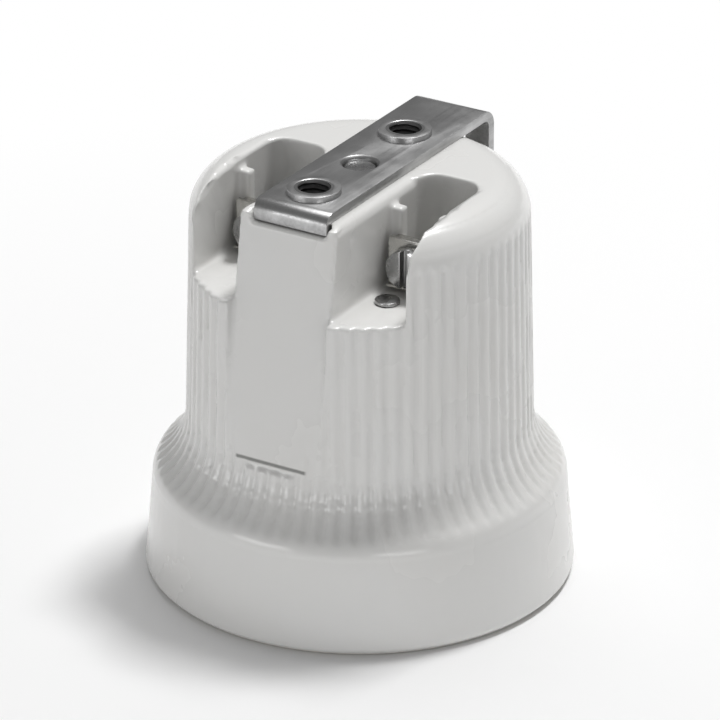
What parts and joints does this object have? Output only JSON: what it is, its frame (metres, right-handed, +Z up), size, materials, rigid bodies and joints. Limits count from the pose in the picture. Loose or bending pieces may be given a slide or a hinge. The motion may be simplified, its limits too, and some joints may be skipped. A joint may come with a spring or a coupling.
{
  "type": "lamp holder",
  "caption": "White glazed porcelain screw lamp holder with fluted neck, flared mouth, rolled screw shell, spring-backed centre contact, screw terminals and a folded steel fixing bracket.",
  "frame": {"origin": "centre of the mouth plane, on the screw axis; the holder stands on its mouth rim", "axes": "+Z up the screw axis from the mouth to the fixing bracket, +X along the bracket strip towards its long leg, +Y across the strip"},
  "size_m": [0.063, 0.063, 0.0639],
  "materials": {
    "glazed_porcelain": "glossy white glaze",
    "zinc_plated_steel": "bright zinc plate",
    "screw_steel": "bright zinc plate",
    "nickel_plated_brass": "satin nickel plate",
    "spring_steel": "rolled strip",
    "mica": "pressed mica"
  },
  "bodies": {
    "holder": {"porcelain_body": "glazed_porcelain", "fixing_bracket": "zinc_plated_steel", "bracket_screw": "screw_steel", "bracket_screw_washer": "screw_steel", "insulating_disc": "mica", "screw_shell": "nickel_plated_brass", "shell_rivet_terminal": "nickel_plated_brass", "shell_rivet_right": "nickel_plated_brass", "shell_rivet_left": "nickel_plated_brass", "contact_spring": "spring_steel", "contact_screw": "screw_steel", "contact_screw_nut": "screw_steel", "contact_lock_washer": "screw_steel", "shell_terminal_plate": "nickel_plated_brass", "contact_terminal_plate": "nickel_plated_brass"},
    "contact": {"centre_contact": "nickel_plated_brass"},
    "shell_clamp": {"shell_wire_clamp": "nickel_plated_brass"},
    "shell_screw": {"shell_terminal_screw": "screw_steel"},
    "contact_clamp": {"contact_wire_clamp": "nickel_plated_brass"},
    "contact_terminal": {"contact_terminal_screw": "screw_steel"}
  },
  "joints": [
    {"name": "contact_press", "type": "slide", "parent": "holder", "child": "contact", "axis": [0, 0, 1], "range_m": [0, 0.0018], "stiffness_N_per_m": 1500, "springref_m": -0.003, "deforming": ["contact_spring"]},
    {"name": "shell_clamp_slide", "type": "slide", "parent": "holder", "child": "shell_clamp", "axis": [-1, 0, 0], "range_m": [0, 0.0021]},
    {"name": "shell_screw_turn", "type": "hinge", "parent": "shell_clamp", "child": "shell_screw", "pos_m": [-0.0072, -0.01275, 0.0526], "axis": [-1, 0, 0], "range_deg": [0, 1080]},
    {"name": "contact_clamp_slide", "type": "slide", "parent": "holder", "child": "contact_clamp", "axis": [-1, 0, 0], "range_m": [0, 0.0021]},
    {"name": "contact_screw_turn", "type": "hinge", "parent": "contact_clamp", "child": "contact_terminal", "pos_m": [-0.0072, 0.01275, 0.0526], "axis": [-1, 0, 0], "range_deg": [0, 1080]}
  ],
  "couplings": [
    {"joint": "shell_screw_turn", "follows": "shell_clamp_slide", "rad_per_m": 8975.9},
    {"joint": "contact_screw_turn", "follows": "contact_clamp_slide", "rad_per_m": 8975.9}
  ]
}
